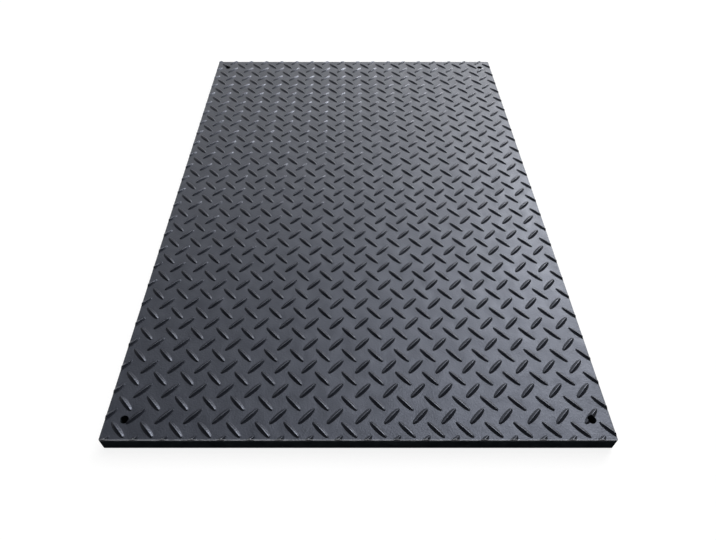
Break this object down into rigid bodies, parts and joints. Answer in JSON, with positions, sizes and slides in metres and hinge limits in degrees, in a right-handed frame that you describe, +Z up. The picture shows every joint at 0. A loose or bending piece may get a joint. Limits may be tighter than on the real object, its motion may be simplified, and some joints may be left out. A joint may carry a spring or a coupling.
{
  "type": "ground protection mat",
  "caption": "Thick rectangular moulded plastic mat with a raised tread of crossed lugs on top, a flat underside and a plain round fixing hole near each corner.",
  "frame": {"origin": "middle of the flat underside", "axes": "+X across the mat to the right, +Y along its length away from the front edge, +Z up through the tread"},
  "size_m": [1.22, 1.83, 0.045],
  "materials": {
    "moulded_plastic": "satin, moulded on top and sawn on the edges"
  },
  "bodies": {
    "root": {"mat": "moulded_plastic"}
  },
  "joints": []
}
